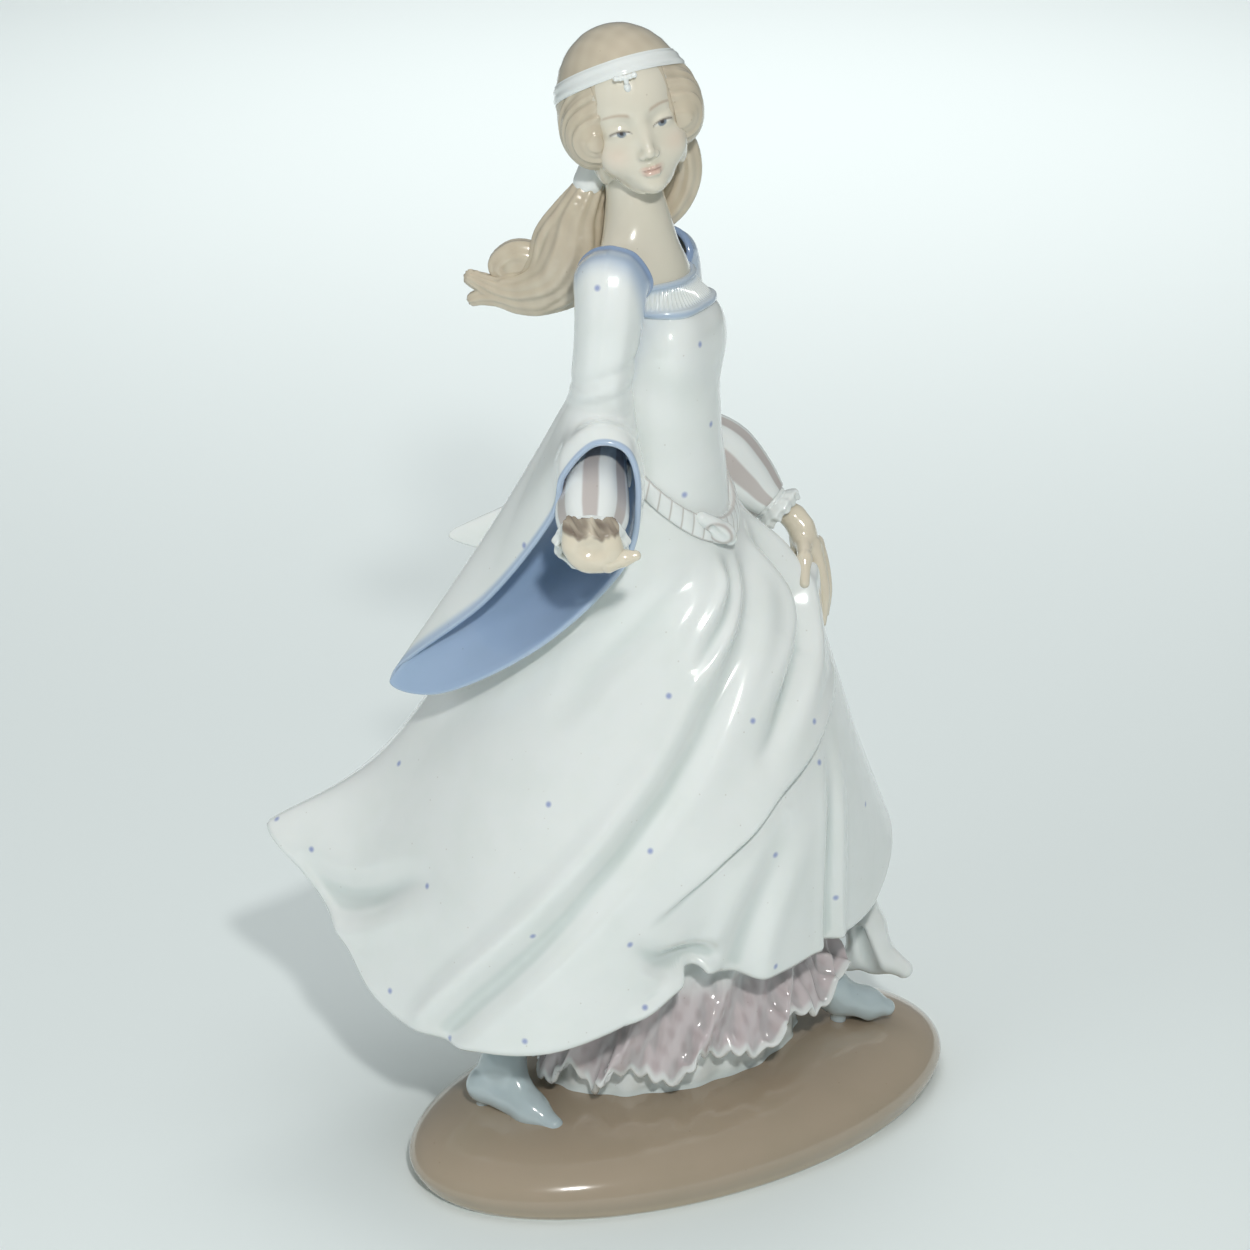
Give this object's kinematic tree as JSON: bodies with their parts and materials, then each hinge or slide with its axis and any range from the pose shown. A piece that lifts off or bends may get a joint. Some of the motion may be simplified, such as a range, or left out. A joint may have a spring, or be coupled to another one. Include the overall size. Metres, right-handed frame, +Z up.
{
  "type": "porcelain figurine",
  "caption": "Glazed porcelain figurine of a striding woman in a long medieval gown with trumpet sleeves, on an oval mound base.",
  "frame": {"origin": "centre of the oval base's flat foot", "axes": "+Z up; X along the oval base's long axis, +X the way the figure strides; the display side faces -Y turned 32.4 degrees towards -X"},
  "size_m": [0.1433, 0.1043, 0.2559],
  "materials": {
    "tan_glaze": "clear-glazed tan porcelain, glossy",
    "white_glaze": "clear-glazed white porcelain with a faint cool tint, glossy",
    "blue_glaze": "periwinkle-blue underglaze fading into white, glossy",
    "skin_glaze": "pale cream skin tint under clear glaze, glossy",
    "hair_glaze": "soft brown hair tint under clear glaze, glossy",
    "mauve_glaze": "pale mauve underglaze, glossy",
    "grey_glaze": "pale blue-grey underglaze, glossy"
  },
  "bodies": {
    "root": {"base": "tan_glaze", "right_boot": "grey_glaze", "left_boot": "grey_glaze", "head": "skin_glaze", "headband": "white_glaze", "forehead_jewel": "white_glaze", "hair_crown": "hair_glaze", "right_hair_wing": "hair_glaze", "left_hair_wing": "hair_glaze", "neck_and_chest": "skin_glaze", "hair_tie": "white_glaze", "hair_back": "hair_glaze", "left_hair_lock": "hair_glaze", "right_shoulder_cap": "blue_glaze", "right_upper_sleeve": "white_glaze", "left_shoulder_cap": "blue_glaze", "left_upper_sleeve": "white_glaze", "right_cuff": "white_glaze", "right_hand": "skin_glaze", "right_thumb": "skin_glaze", "right_undersleeve": "white_glaze", "left_cuff": "white_glaze", "left_hand": "skin_glaze", "left_undersleeve": "white_glaze", "belt": "white_glaze", "belt_knot": "white_glaze", "neckline_trim": "white_glaze", "bodice": "white_glaze", "gown_skirt": "white_glaze", "right_trumpet_sleeve": "white_glaze", "left_trumpet_sleeve": "white_glaze", "hair_tail": "hair_glaze", "hair_curl": "hair_glaze", "petticoat_train": "white_glaze", "petticoat_ruffle": "mauve_glaze", "petticoat": "white_glaze"}
  },
  "joints": []
}
